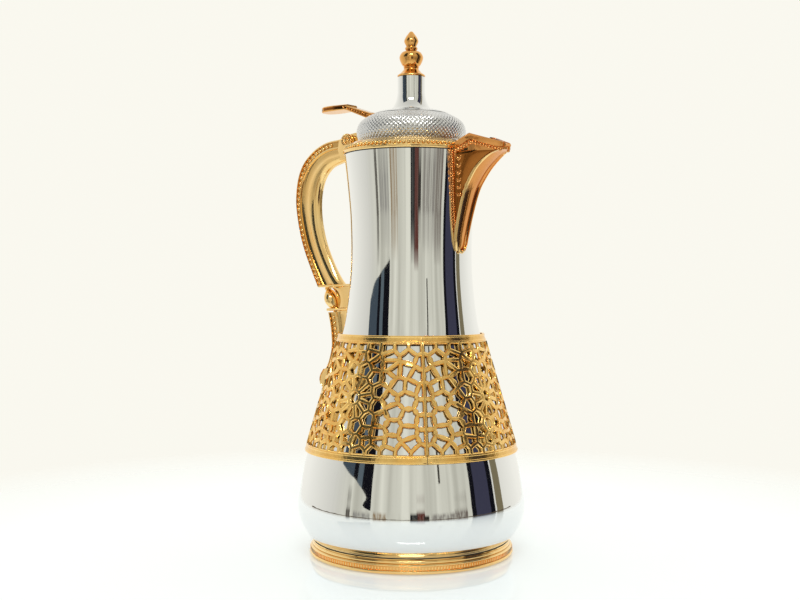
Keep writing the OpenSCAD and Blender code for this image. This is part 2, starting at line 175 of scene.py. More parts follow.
def taken(bm):
    """The (points, faces) of a bmesh, which is then freed."""
    bm.verts.index_update()
    points = [tuple(v.co) for v in bm.verts]
    faces = [tuple(v.index for v in f.verts) for f in bm.faces]
    bm.free()
    return points, faces


def unit_ball():
    bm = bmesh.new()
    bmesh.ops.create_icosphere(bm, subdivisions=2, radius=1)
    return taken(bm)


BALL = unit_ball()


def egg(place, size, turn=0.0):
    """A ball stretched to the three half sizes, turned round Y, at a place."""
    stretched = Matrix.Rotation(turn, 4, "Y") @ Matrix.Diagonal((*size, 1))
    return placed(BALL, Matrix.Translation(place) @ stretched)


def beads(places, radius):
    return merged(*[egg(p, (radius, radius, radius)) for p in places])


def ring_places(count, radius, height):
    """That many places evenly round the Z axis, the first one on +X."""
    return [(radius * math.cos(a), radius * math.sin(a), height)
            for a in (math.tau * i / count for i in range(count))]


def arc(centre, radius, start, end, count):
    """That many points on an arc between two angles in degrees."""
    return [(centre[0] + radius * math.cos(a), centre[1] + radius * math.sin(a))
            for a in np.radians(np.linspace(start, end, count))]


def strip(path, width, height):
    """A low ridge along a path in space, width wide along X and standing out along Y."""
    shape = [(-0.5, -0.3), (-0.42, 0.55), (-0.2, 0.92), (0.2, 0.92), (0.42, 0.55), (0.5, -0.3)]
    return loft([[(x + a * width, y + b * height, z) for a, b in shape] for x, y, z in path])


# ---------------------------------------------------------------- materials
def node_tree(name):
    material = bpy.data.materials.new(name)
    material.use_nodes = True
    tree = material.node_tree
    return material, tree, tree.nodes["Principled BSDF"]


def noise(tree, scale, detail=3.0, stretch=(1, 1, 1)):
    """Noise over the object's own coordinates, in metres; returns its factor."""
    place = tree.nodes.new("ShaderNodeTexCoord")
    mapping = tree.nodes.new("ShaderNodeMapping")
    texture = tree.nodes.new("ShaderNodeTexNoise")
    mapping.inputs["Scale"].default_value = stretch
    texture.inputs["Scale"].default_value = scale
    texture.inputs["Detail"].default_value = detail
    tree.links.new(place.outputs["Object"], mapping.inputs["Vector"])
    tree.links.new(mapping.outputs["Vector"], texture.inputs["Vector"])
    return texture.outputs["Fac"]


def remap(tree, value, low, high, to_low, to_high):
    node = tree.nodes.new("ShaderNodeMapRange")
    for socket, number in zip(("From Min", "From Max", "To Min", "To Max"), (low, high, to_low, to_high)):
        node.inputs[socket].default_value = number
    tree.links.new(value, node.inputs["Value"])
    return node.outputs["Result"]


def blend(tree, factor, first, second):
    """A mix of two colours, each a tuple or a socket."""
    node = tree.nodes.new("ShaderNodeMix")
    node.data_type = "RGBA"
    tree.links.new(factor, node.inputs[0])
    for index, colour in ((6, first), (7, second)):
        if isinstance(colour, tuple):
            node.inputs[index].default_value = (*colour, 1)
        else:
            tree.links.new(colour, node.inputs[index])
    return node.outputs[2]


def surface(name, colour, other, rough, metallic=0.0, patch=30.0, crevice_shade=None, bump=None, coat=0.0,
            scratches=0.0):
    """A finish whose colour and roughness drift in soft patches, with painted shade darkening its hollows,
    fine bump (scale per metre, height in metres) and faint directional scratches where asked."""
    material, tree, shader = node_tree(name)
    shader.inputs["Metallic"].default_value = metallic
    shader.inputs["Coat Weight"].default_value = coat
    tint = blend(tree, remap(tree, noise(tree, patch), 0.35, 0.65, 0, 1), colour, other)
    # painted shade: hollows found by the pointiness are darkened towards the given shade colour, standing
    # in for the shade that falls there
    if crevice_shade:
        geometry = tree.nodes.new("ShaderNodeNewGeometry")
        hollow = remap(tree, geometry.outputs["Pointiness"], 0.40, 0.50, 1, 0)
        tint = blend(tree, hollow, tint, crevice_shade)
    tree.links.new(tint, shader.inputs["Base Color"])
    wear = noise(tree, patch * 4, 6)
    if scratches:
        streaks = noise(tree, 900, 2, (1, 1, 0.04))
        mixer = tree.nodes.new("ShaderNodeMath")
        mixer.operation = "MULTIPLY_ADD"
        mixer.inputs[1].default_value = scratches
        tree.links.new(streaks, mixer.inputs[0])
        tree.links.new(wear, mixer.inputs[2])
        wear = mixer.outputs[0]
    tree.links.new(remap(tree, wear, 0.35, 0.7 + scratches, rough[0], rough[1]), shader.inputs["Roughness"])
    if bump:
        node = tree.nodes.new("ShaderNodeBump")
        node.inputs["Distance"].default_value = bump[1]
        tree.links.new(noise(tree, bump[0], 4), node.inputs["Height"])
        tree.links.new(node.outputs["Normal"], shader.inputs["Normal"])
    return material


# The third colour given to some finishes below is painted shade for their hollows
CHROME = surface("chrome_plate", (0.88, 0.885, 0.885), (0.85, 0.86, 0.865), (0.015, 0.06), 1.0, 14,
                 scratches=0.3)
SILVER = surface("knurled_silver_plate", (0.83, 0.83, 0.84), (0.74, 0.75, 0.77), (0.18, 0.32), 1.0, 60,
                 crevice_shade=(0.42, 0.42, 0.43), bump=(1800, 0.00002))
GOLD = surface("gold_plate", (1.0, 0.72, 0.33), (0.99, 0.65, 0.26), (0.07, 0.18), 1.0, 45,
               crevice_shade=(0.50, 0.25, 0.05), bump=(260, 0.00003), scratches=0.2)
BAND_GOLD = surface("openwork_gold_plate", (1.0, 0.67, 0.24), (0.97, 0.58, 0.17), (0.12, 0.28), 1.0, 60,
                    crevice_shade=(0.55, 0.27, 0.05), bump=(420, 0.00012), scratches=0.2)
COPPERY = surface("rose_gold_plate", (0.82, 0.38, 0.12), (0.72, 0.29, 0.08), (0.06, 0.16), 1.0, 50,
                  crevice_shade=(0.42, 0.15, 0.03), bump=(260, 0.00003), scratches=0.2)
RICH_GOLD = surface("rich_gold_plate", (0.90, 0.48, 0.15), (0.82, 0.39, 0.10), (0.06, 0.17), 1.0, 45,
                    crevice_shade=(0.42, 0.18, 0.03), bump=(260, 0.00003), scratches=0.2)
# Painted shade: a dark amber metal laid in the sunk panels of the lever and the spout, standing in for the
# shade and dark reflections there
RECESS_SHADE = surface("painted_recess_shade", (0.36, 0.13, 0.025), (0.28, 0.09, 0.018), (0.10, 0.22), 1.0, 40,
                crevice_shade=(0.25, 0.07, 0.01), bump=(300, 0.00003))
STEEL = surface("zinc_plated_steel", (0.62, 0.63, 0.64), (0.50, 0.51, 0.52), (0.25, 0.45), 1.0, 300,
                bump=(3000, 0.00001))
SEAL = surface("dark_rubber_seal", (0.018, 0.017, 0.017), (0.030, 0.028, 0.026), (0.42, 0.62), 0, 120,
               bump=(2500, 0.00003))
RUBBER = surface("base_pad_rubber", (0.022, 0.022, 0.023), (0.040, 0.039, 0.038), (0.55, 0.80), 0, 90,
                 bump=(1500, 0.00008))
SILICONE = surface("milky_silicone", (0.72, 0.69, 0.62), (0.66, 0.63, 0.56), (0.35, 0.5), 0, 80,
                   bump=(1800, 0.00002))
MOULDING = surface("cream_moulding", (0.80, 0.74, 0.62), (0.75, 0.69, 0.57), (0.22, 0.38), 0, 60,
                   bump=(2200, 0.00002), coat=0.15)
BASE_MOULDING = surface("black_moulding", (0.020, 0.020, 0.022), (0.034, 0.034, 0.036), (0.35, 0.55), 0, 60,
                        bump=(2600, 0.00004))
GLASS = surface("silvered_glass_wall", (0.86, 0.88, 0.89), (0.80, 0.83, 0.84), (0.02, 0.05), 1.0, 25,
                coat=0.8)
FOAM = surface("insulating_foam", (0.80, 0.79, 0.74), (0.70, 0.69, 0.63), (0.8, 0.95), 0, 200,
               bump=(900, 0.0004))

CARRIED = {
    STEEL: ("handle_screws", "spout_screws", "hinge_pin", "arm_rivets", "finial_stud",
            "finial_washer", "finial_nut", "stopper_screws"),
    GOLD: ("lever_rivets",),
    GLASS: ("liner_outer_wall", "liner_inner_wall"),
    MOULDING: ("mouth_funnel", "lid_plate", "stopper", "liner_spacers"),
    BASE_MOULDING: ("base_ring", "base_cap"),
    RUBBER: ("base_pad", "liner_cushion"),
    SILICONE: ("mouth_gasket", "stopper_seal"),
    FOAM: ("stopper_foam",),
}
for material, names in CARRIED.items():
    for name in names:
        for material_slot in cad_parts[name].material_slots:
            material_slot.material = material


# ---------------------------------------------------------------- making pieces
WELD = 2e-6     # points nearer than this, in metres, become one


def new_mesh(name, part):
    """A welded mesh of (points, faces) in millimetres, its faces turned outwards."""
    mesh = bpy.data.meshes.new(name)
    mesh.from_pydata([tuple(c * MM for c in p) for p in part[0]], [], part[1])
    bm = bmesh.new()
    bm.from_mesh(mesh)
    bmesh.ops.remove_doubles(bm, verts=bm.verts, dist=WELD)
    bmesh.ops.recalc_face_normals(bm, faces=bm.faces)
    bm.to_mesh(mesh)
    bm.free()
    return mesh


def new_object(name, data):
    made = bpy.data.objects.new(name, data)
    bpy.context.scene.collection.objects.link(made)
    return made


def piece(name, part, material, body, replaces=(), sharp=38):
    """A part as a piece of the object, shaded smooth up to the angle sharp in degrees."""
    mesh = new_mesh(name, part)
    mesh.shade_smooth()
    mesh.set_sharp_from_angle(angle=math.radians(sharp))
    mesh.materials.append(material)
    made = new_object(name, mesh)
    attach(made, body)
    if replaces:
        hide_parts(*replaces)


def modified(part, modify):
    """A part after the modifiers that modify(object) adds."""
    work = new_object("work", new_mesh("work", part))
    modify(work)
    bpy.context.view_layer.update()
    shown = work.evaluated_get(bpy.context.evaluated_depsgraph_get())
    result = shown.to_mesh()
    points = [tuple(c / MM for c in v.co) for v in result.vertices]
    faces = [tuple(f.vertices) for f in result.polygons]
    shown.to_mesh_clear()
    bpy.data.objects.remove(work)
    return points, faces


def cut(part, *cutters):
    """A part with the cutters taken away."""
    tools = [new_object("cutter", new_mesh("cutter", cutter)) for cutter in cutters]

    def modify(work):
        for tool in tools:
            boolean = work.modifiers.new("cut", "BOOLEAN")
            boolean.object = tool
            boolean.operation = "DIFFERENCE"
            boolean.solver = "EXACT"

    result = modified(part, modify)
    for tool in tools:
        bpy.data.objects.remove(tool)
    return result


def bevelled(part, width):
    """A part with its sharp edges rounded."""
    def modify(work):
        bevel = work.modifiers.new("bevel", "BEVEL")
        bevel.width = width * MM
        bevel.segments = 2
        bevel.limit_method = "ANGLE"
        bevel.angle_limit = math.radians(25)

    return modified(part, modify)


# ---------------------------------------------------------------- body, collar and foot
BODY_PATH = curve([
    (59.6, FOOT_TOP + 0.6), (65.3, 16), (68.4, 24.5), (69, 32.5), (67.3, 42.5), (64.5, 56.4),
    (60.7, 71), (52.7, 98), (44.6, 125), (40.4, 141), (37.7, 164), (37, 182), (37.5, 202.5),
    (38.5, 216), (39.7, 229), (40.9, BODY_TOP),
], 8)


def body_radius(z):
    """Radius of the chrome body, or of the collar, at a height."""
    if z > BODY_TOP:
        return COLLAR_R
    return float(np.interp(z, [p[1] for p in BODY_PATH], [p[0] for p in BODY_PATH]))


def make_body():
    """Polished shell from the foot to the collar, hollow and open at both ends."""
    inner = [(r, z) for r, z in shifted(BODY_PATH, -SHELL_T) if z < BODY_TOP]
    profile = [(SEAT_R, FOOT_TOP + 0.6)] + BODY_PATH + inner[::-1] + [(SEAT_R, FOOT_TOP + 1.4)]
    piece("body_chrome_shell", lathe(profile, 240), CHROME, "pot", ["body_shell"])


def make_collar():
    """Gold collar: a plain rim and a shoulder that carries a bead row, notched for the spout."""
    z, r = COLLAR_Z, COLLAR_R
    profile = [
        (38.4, z - 4.6), (39.3, z - 4.6), (39.9, z), (r - 0.5, z), (r - 0.1, z + 0.35), (r, z + 0.8),
        (r, z + 1.7), (r - 0.4, z + 2.1), (r - 1.4, z + 2.2), (r - 1.7, z + 4.4), (r - 2.2, z + 4.8),
        (r - 2.9, z + 4.9), (r - 3.7, z + 5.5), (COLLAR_IN_R + 2.2, COLLAR_TOP - 0.25),
        (COLLAR_IN_R + 0.8, COLLAR_TOP), (COLLAR_IN_R + 0.2, COLLAR_TOP - 0.2),
        (COLLAR_IN_R, COLLAR_TOP - 0.6), (COLLAR_IN_R, COLLAR_TOP - 1.6), (38.4, z + 3.8),
    ]
    near, far, low, high = COLLAR_IN_R - 4, COLLAR_IN_R + 16, z + 1.2, z + 20
    notch = slab([(near, low), (far, low), (far, high), (near, high)], -NOTCH_W / 2, NOTCH_W / 2)
    ring = cut(lathe(profile, 200), notch)
    row = [p for p in ring_places(88, r - 1.2, z + 3.3)
           if not (p[0] > 0 and abs(p[1]) < NOTCH_W / 2 + 1) and not (p[0] < 0 and abs(p[1]) < EAR_OUT)]
    piece("collar_gold_ring", ring, GOLD, "pot", ["neck_collar"])
    piece("collar_bead_row", beads(row, 1.15), GOLD, "pot")
    seal = [(40.0, BODY_TOP + 0.1), (40.9, BODY_TOP + 0.1), (40.95, COLLAR_Z), (40.0, COLLAR_Z)]
    piece("collar_dark_seal", lathe(seal), SEAL, "pot", ["collar_seal"])


def make_foot():
    """Gold foot: rounded flange with a milled line, a step, a plain ring and the seal above."""
    inside, low = 55.2, 0.5
    profile = [
        (inside, low), (60.9, low), (61.6, low + 0.35), (62, low + 1), (62, 2.0), (61.6, 2.5),
        (60.9, 2.7), (60.9, 4.9), (61.3, 5.0), (61.3, 5.4), (60.9, 5.8), (59.9, 6.1), (60.2, 6.5),
        (60.2, 7.3), (59.9, 7.75), (59.5, 7.9), (59.7, 8.2), (59.6, FOOT_TOP), (inside, FOOT_TOP),
    ]
    count, half, deep = 216, 0.36, 0.9
    bar = loft([[(x, -half, z), (x, half, z), (x - deep, half, z), (x - deep, -half, z)]
                for x, z in ((61.2, 2.7), (61.65, 3.0), (61.65, 4.6), (61.2, 4.9))])
    bars = merged(*[placed(bar, Matrix.Rotation(math.tau * i / count, 4, "Z")) for i in range(count)])
    # painted shade: the groove behind the milled bars is laid in the darker gold
    groove = lathe([(60.4, 2.75), (60.97, 2.75), (60.97, 4.85), (60.4, 4.85)], 220)
    piece("foot_gold_ring", lathe(profile, 220), GOLD, "pot", ["foot_ring"])
    piece("foot_milled_line", bars, GOLD, "pot")
    piece("foot_milled_groove_shade", groove, RICH_GOLD, "pot")
    seal = [(SEAT_R, FOOT_TOP), (59.2, FOOT_TOP), (59.35, FOOT_TOP + 0.3), (59.2, FOOT_TOP + 0.6),
            (SEAT_R, FOOT_TOP + 0.6)]
    piece("foot_dark_seal", lathe(seal), SEAL, "pot", ["foot_seal"])


# ---------------------------------------------------------------- openwork band
BAND_BORDER = 4.9   # plain border above and below the windows
BAND_BAR = 1.2      # half the width of a bar between two windows
CELL = 14           # half the size of the square that a window is cut out of
SEAM = math.radians(-43)
SHEET_END = math.pi - 0.0025
CONE = math.atan((BAND_LOW_R - BAND_TOP_R) / BAND_H)
# Windows between two rosettes: sideways from the middle line, above the band's middle
FILL = [(0, 4.5), (0, -4.5), (10.4, 0), (7.6, 7), (10, 16), (8.2, 23.8), (18.6, 23.4), (0, 20.6),
        (4.4, 12.6), (16.6, 16.2), (10, -10.8), (0, -12.6), (10.8, -18.2), (0, -20.4), (8.6, -24.6),
        (20.2, -24), (18.6, -15.4), (27.8, -23.6), (36, -24.2)]
# Lines of both borders: distance from the band's edge, lift
BORDER_STEPS = ((0, 0), (0.35, 0.22), (0.9, 0.22), (1.25, 0), (3.0, 0), (3.3, 0.25), (3.75, 0.25), (4.0, 0))


def band_radius(z):
    return lerp(BAND_LOW_R, BAND_TOP_R, (z - BAND_Z) / BAND_H)


def unrolled(angle, z):
    """A point of the band on its flat sheet; angle is measured from opposite the seam."""
    reach, turn = band_radius(z) / math.sin(CONE), angle * math.sin(CONE)
    return reach * math.sin(turn), reach * math.cos(turn)


def rolled(p, lift):
    """A point of the flat sheet back on the cone, lift outside its surface."""
    reach = math.hypot(*p)
    angle = math.atan2(p[0], p[1]) / math.sin(CONE) + math.pi + SEAM
    r = reach * math.sin(CONE)
    z = BAND_Z + (BAND_LOW_R - r) / math.tan(CONE)
    r, z = r + lift * math.cos(CONE), z + lift * math.sin(CONE)
    return r * math.cos(angle), r * math.sin(angle), z


def window_centres():
    """Twelve-petalled rosettes a quarter turn apart, and the windows between them."""
    middle = BAND_Z + BAND_H / 2
    margin = BAND_BORDER + 0.8
    highest = 24.4
    seeds, pinches = [], []

    def add(angle, z, pinch=0.0):
        if abs(angle) < math.radians(200) and BAND_Z + margin < z < BAND_Z + BAND_H - margin:
            seeds.append(unrolled(angle, z))
            pinches.append(pinch)

    quarter = math.pi / 2
    for k in range(-3, 3):
        centre = (k + 0.5) * quarter
        add(centre, middle)
        for i in range(12):
            for radius, start, pinch in ((8.2, 0, 0), (16.2, 15, 0), (22.6, 0, 0.25), (27.6, 15, 0)):
                turn = math.radians(start + 30 * i)
                z = middle + max(-highest, min(highest, radius * math.sin(turn)))
                add(centre + radius * math.cos(turn) / band_radius(z), z, pinch)
    for k in range(-3, 4):
        for across, up in FILL:
            z = middle + up
            for side in (-1, 1) if across else (1,):
                add(k * quarter + side * across / band_radius(z), z, 0.12)
    for up, count in ((29, 36), (-29, 44)):
        for i in range(-count // 2 - 2, count // 2 + 2):
            add((i + 0.5) * math.tau / count, middle + up)
    return np.array(seeds), pinches


def clipped(polygon, point, normal):
    """The part of a convex polygon on the side of the line that normal points away from."""
    out = []
    for a, b in zip(polygon, polygon[1:] + polygon[:1]):
        da = (a[0] - point[0]) * normal[0] + (a[1] - point[1]) * normal[1]
        db = (b[0] - point[0]) * normal[0] + (b[1] - point[1]) * normal[1]
        if da <= 0:
            out.append(a)
        if (da < 0) != (db < 0) and abs(da - db) > 1e-12:
            t = da / (da - db)
            out.append((lerp(a[0], b[0], t), lerp(a[1], b[1], t)))
    return out if len(out) > 2 else []


def window(seed, near, inset):
    """The cell round a seed, pulled in by inset from its edges, the borders and the seam."""
    x, y = seed
    polygon = [(x - CELL, y - CELL), (x + CELL, y - CELL), (x + CELL, y + CELL), (x - CELL, y + CELL)]
    for other in near:
        dx, dy = other[0] - x, other[1] - y
        size = math.hypot(dx, dy)
        nx, ny = dx / size, dy / size
        reach = size / 2 - inset
        polygon = clipped(polygon, (x + nx * reach, y + ny * reach), (nx, ny))
    turn = math.atan2(x, y)
    ux, uy = math.sin(turn), math.cos(turn)
    loose = BAND_BAR - inset
    for z, sign in ((BAND_Z + BAND_BORDER, 1), (BAND_Z + BAND_H - BAND_BORDER, -1)):
        edge = band_radius(z) / math.sin(CONE) + sign * loose
        polygon = clipped(polygon, (ux * edge, uy * edge), (sign * ux, sign * uy))
    end = math.pi * math.sin(CONE)
    for sign in (-1, 1):
        normal = (sign * math.cos(end), -math.sin(end))
        polygon = clipped(polygon, (-normal[0] * inset * 1.1, -normal[1] * inset * 1.1), normal)
    return polygon


def starred(polygon, centre, pinch):
    """A polygon without very short edges, its sides drawn in towards the centre, its long edges
    divided."""
    shortest, longest = 0.7, 2.6
    kept = [p for p, q in zip(polygon, polygon[1:] + polygon[:1]) if math.dist(p, q) > shortest]
    if len(kept) < 3:
        return []
    if pinch:
        starry = []
        for a, b in zip(kept, kept[1:] + kept[:1]):
            middle = (lerp(a[0], b[0], 0.5), lerp(a[1], b[1], 0.5))
            pull = pinch * min(1, math.dist(a, b) / 3)
            starry += [a, (lerp(middle[0], centre[0], pull), lerp(middle[1], centre[1], pull))]
        kept = starry
    out = []
    for a, b in zip(kept, kept[1:] + kept[:1]):
        count = max(1, math.ceil(math.dist(a, b) / longest))
        out += [(lerp(a[0], b[0], i / count), lerp(a[1], b[1], i / count)) for i in range(count)]
    return out


def area(polygon):
    return abs(sum(a[0] * b[1] - b[0] * a[1] for a, b in zip(polygon, polygon[1:] + polygon[:1]))) / 2


def inside(p, polygon):
    """Whether p lies inside a polygon."""
    odd = False
    for a, b in zip(polygon, polygon[1:] + polygon[:1]):
        if (a[1] > p[1]) != (b[1] > p[1]) and p[0] < lerp(a[0], b[0], (p[1] - a[1]) / (b[1] - a[1])):
            odd = not odd
    return odd


def band_windows(seeds, pinches):
    """For each seed with room for a window: its hole, its rim's crest and the valley round the rim."""
    windows = {}
    for index, seed in enumerate(seeds):
        away = np.hypot(*(seeds - seed).T)
        near = [seeds[j] for j in np.argsort(away)[1:26] if away[j] < 26]
        cell = window(seed, near, BAND_BAR)
        if not cell or area(cell) < 1:
            continue
        outlines = [starred(window(seed, near, BAND_BAR - grow), seed, pinches[index])
                    for grow in (0, 0.3, 0.62)]
        if outlines[0]:
            windows[index] = outlines
    return windows


def band_lines(windows):
    """The lines that the sheet's faces follow: (places, lift, whether closed)."""
    lines = []
    for outlines in windows.values():
        lines += [(line, lift, True) for line, lift in zip(outlines, (0.0, 0.4, 0.1))]
    for up, lift in BORDER_STEPS:
        for z in (BAND_Z + up, BAND_Z + BAND_H - up):
            line = [unrolled(lerp(-SHEET_END, SHEET_END, i / 240), z) for i in range(241)]
            lines.append((line, lift, False))
    for side in (-1, 1):
        line = [unrolled(side * SHEET_END, BAND_Z + BAND_H * i / 40) for i in range(41)]
        lines.append((line, 0.1, False))
    return lines


def flat_sheet(seeds, windows):
    """The pierced sheet laid flat: its places, how far each is lifted, and its faces."""
    points, lifts, edges = [], [], []
    for line, lift, closed in band_lines(windows):
        base, count = len(points), len(line)
        points += [Vector(p) for p in line]
        lifts += [lift] * count
        edges += [(base + i, base + (i + 1) % count) for i in range(count if closed else count - 1)]
    made = delaunay_2d_cdt(points, edges, [], 0, 1e-4, True)
    flat = np.array([tuple(v) for v in made[0]])
    height = [max((lifts[i] for i in ids), default=0.0) for ids in made[3]]
    low_reach, high_reach = BAND_TOP_R / math.sin(CONE), BAND_LOW_R / math.sin(CONE)
    faces = []
    for face in made[2]:
        centre = flat[list(face)].mean(0)
        if not low_reach - 0.01 < math.hypot(*centre) < high_reach + 0.05:
            continue
        if abs(math.atan2(*centre)) > SHEET_END * math.sin(CONE):
            continue
        nearest = int(np.argmin(np.hypot(*(seeds - centre).T)))
        if nearest not in windows or not inside(centre, windows[nearest][0]):
            faces.append(tuple(face))
    return flat, height, faces


def thickened(flat, height, top):
    """The flat sheet rolled up as a solid, with walls round every hole and edge."""
    n = len(flat)
    points = [rolled(p, h) for p, h in zip(flat, height)] + [rolled(p, -BAND_T) for p in flat]
    faces = top + [tuple(i + n for i in reversed(f)) for f in top]
    open_edges = {}
    for f in top:
        for a, b in zip(f, f[1:] + f[:1]):
            key = frozenset((a, b))
            open_edges[key] = None if key in open_edges else (a, b)
    faces += [(b, a, a + n, b + n) for a, b in filter(None, open_edges.values())]
    kept = sorted({i for f in faces for i in f})
    index_of = {old: new for new, old in enumerate(kept)}
    return [points[i] for i in kept], [tuple(index_of[i] for i in f) for f in faces]


def make_band():
    """The gold band: a pierced sheet whose windows have raised rims, rolled into a cone."""
    seeds, pinches = window_centres()
    part = thickened(*flat_sheet(seeds, band_windows(seeds, pinches)))
    piece("openwork_gold_band", part, BAND_GOLD, "pot", ["openwork_band"], sharp=30)


# ---------------------------------------------------------------- lid
DOME_PATH = curve([(31.6, DOME_Z), (33.1, 253.4), (33.4, 257.6), (31.2, 262.2), (26.4, 265.4),
                   (20, 268.3), (12, CROWN_Z)], 10)
KNURL_TOP = 266.3
KNURL_AROUND = 80
KNURL_ROWS = 8
STUD_R = 2.3


def knurl_column(turn, path, normals):
    """The knurled part of the dome's outline; turn says where round the dome, in diamonds."""
    last = len(path) - 1
    column = []
    for k, ((r, z), normal) in enumerate(zip(path, normals)):
        v = KNURL_ROWS * k / last
        fade = min(1, k / 3, (last - k) / 3)
        peak = min(abs((turn + v) % 1 - 0.5), abs((turn - v) % 1 - 0.5)) * 2
        lift = fade * (0.42 * peak - 0.34)
        column.append((r + normal[0] * lift, z + normal[1] * lift))
    return column


def make_dome():
    """Domed lid with a diamond knurl from its rim to a smooth crown ring."""
    path = resampled([(r, z) for r, z in DOME_PATH if z < KNURL_TOP], 61)
    normals = [Vector((b[1] - a[1], a[0] - b[0])).normalized()
               for a, b in zip([path[0]] + path[:-1], path[1:] + [path[-1]])]
    crown = [(r, z) for r, z in DOME_PATH if z >= KNURL_TOP + 0.3]
    step = (crown[0][0] - 0.15, crown[0][1] - 0.25)
    inner = shifted(DOME_PATH, -0.9)[::-5]
    smooth = [step] + crown + [(STUD_R, CROWN_Z), (STUD_R, CROWN_Z - 0.9)] + inner
    per_diamond = 8
    columns = [knurl_column(i / per_diamond, path, normals) + smooth
               for i in range(KNURL_AROUND * per_diamond)]
    piece("lid_knurled_dome", turned(columns), SILVER, "lid", ["lid_dome"], sharp=24)


def make_neck():
    """Chrome neck that flares out at its foot onto the dome's crown."""
    low = CROWN_Z + 0.1
    flare = curve([(14.5, low), (12.4, 270.1), (10.4, 273), (9.1, 276.2), (NECK_R, 280)], 8)
    profile = [(STUD_R, low)] + flare
    profile += [(NECK_R, NECK_TOP - 0.3), (NECK_R - 0.3, NECK_TOP), (STUD_R, NECK_TOP)]
    piece("lid_chrome_neck", lathe(profile, 96), CHROME, "lid", ["lid_neck"])


def make_finial():
    """Turned finial with a waist, a bulb, a thin neck and a pointed bud, bored for its stud."""
    low = NECK_TOP + 0.1
    profile = [(0, 298), (2.05, 298), (2.05, low), (NECK_R, low), (8.6, low + 0.35), (8.5, low + 0.8)]
    profile += curve([(8.1, low + 1.2), (6.7, 292.5), (5.1, 294.2), (4.3, 295.6)], 6)
    profile += [(4.75, 295.75), (4.8, 296.05)]
    profile += curve([(4.3, 296.4), (5.9, 298), (7.3, 301.9), (6.1, 304.9), (3.9, 306.1)], 8)
    profile += [(3.4, 306.4), (3.3, 306.8), (3.75, 307.1), (3.9, 307.8), (3.6, 308.4), (3.1, 308.8),
                (3.2, 309.4)]
    profile += curve([(3.8, 310.4), (4.4, 312.2), (3.6, 314.4), (2.0, 316.7), (0.9, 318), (0, TIP_Z)], 6)
    piece("finial_gold", lathe(profile, 96, closed=False), RICH_GOLD, "lid", ["finial"])


def panelled(outline, half, rim, depth):
    """A slab whose two side faces have a sunk panel inside an even rim."""
    bm = bmesh.new()
    ring = [bm.verts.new((x, -half, z)) for x, z in outline]
    face = bm.faces.new(ring)
    bmesh.ops.extrude_face_region(bm, geom=[face])
    for v in bm.verts:
        if v not in ring:
            v.co.y = half
    bmesh.ops.recalc_face_normals(bm, faces=bm.faces)
    for f in [f for f in bm.faces if abs(f.normal.y) > 0.9]:
        sign = 1 if f.normal.y > 0 else -1
        for thickness in (rim, 0.15):
            bmesh.ops.inset_region(bm, faces=[f], thickness=thickness, use_even_offset=True)
        for v in f.verts:
            v.co.y -= sign * depth
    return taken(bm)


def pad_ring(plan, inset, z):
    """One outline of the thumb pad; its free end leans out a little and has a chamfered top."""
    return [(x + (0.5 if x < -71 and z > 277.9 else 0), y - math.copysign(inset, y),
             z + (0.042 * (z - 276.6) if x < -60 else 0)) for x, y in plan]


def make_lever():
    """Thumb lever: a framed sloping arm and a flat thumb pad with a chamfered tip."""
    arm = [(-14.4, 268.9), (-14.6, 270.8), (-22, 270.2), (-28.4, 270.4), (-49, 277.4), (-52, 277.7),
           (-52, 275), (-49, 274.4), (-32.6, 267.9), (-24.5, 266.6), (-20, 267.6)]
    plan = curve([(-49, 5.0), (-56, 6.1), (-64, 6.45), (-69, 5.7)], 4) + [(-71.6, 4.0), (-72.4, 2.2)]
    plan = plan + [(x, -y) for x, y in reversed(plan)]
    pad = loft([pad_ring(plan, inset, z) for inset, z in (
        (0.5, 274.9), (0, 275.4), (0, 275.75), (0.45, 275.95), (0.45, 277.1), (0, 277.3), (0, 277.8),
        (0.6, 278.25))])
    start, slope = Vector((-30, 0, 269.1)), Vector((-19, 0, 6.7))
    row = [tuple(start + slope * (i / 9) + Vector((0, side * 4.65, 0)))
           for i in range(10) for side in (-1, 1)]
    ends = [(x, side * y, 276.5) for x, y in ((-51.6, 5.1), (-68.6, 5.4)) for side in (-1, 1)]
    lever = merged(bevelled(panelled(arm, 5, 0.75, 0.45), 0.2), pad, beads(row, 0.55), beads(ends, 0.75))
    piece("thumb_lever_gold", lever, RICH_GOLD, "lid", ["thumb_lever"], sharp=30)
    # painted shade: dark sheets fill the arm's sunk panel and the sunk band round the pad's side
    recess = [(-31, 270.2), (-49.4, 276.5), (-50.8, 276.4), (-50.8, 275.6), (-49, 275.2), (-33, 268.9)]
    groove = [[(x + math.copysign(0.35, x + 60), y - math.copysign(0.38, y), z) for x, y in plan]
              for z in (275.9, 277.15)]
    piece("thumb_lever_recess", merged(slab(recess, -4.6, 4.6), loft(groove)), RECESS_SHADE, "lid")


def make_hinge_arm():
    """Knuckle and arm that carry the lid, with rounded edges and a bead row on each side."""
    half = 3.5
    outline = arc((-HINGE_X, HINGE_Z), KNUCKLE_R, 95, 245, 18)
    outline += [(-HINGE_X + 6, HINGE_Z - 3.4), (-33.3, HINGE_Z - 3.4), (-32.9, 257.6), (-32.2, 260.6),
                (-HINGE_X + 10, 260.2), (-HINGE_X + 2, HINGE_Z + KNUCKLE_R + 0.1)]
    arm = bevelled(slab(outline, -half, half), 0.45)
    row = [(-43.5 + i * 2.6, side * half, 256.4 + i * 0.25) for i in range(4) for side in (-1, 1)]
    piece("hinge_arm_gold", merged(arm, beads(row, 0.7)), GOLD, "lid", ["hinge_arm"])


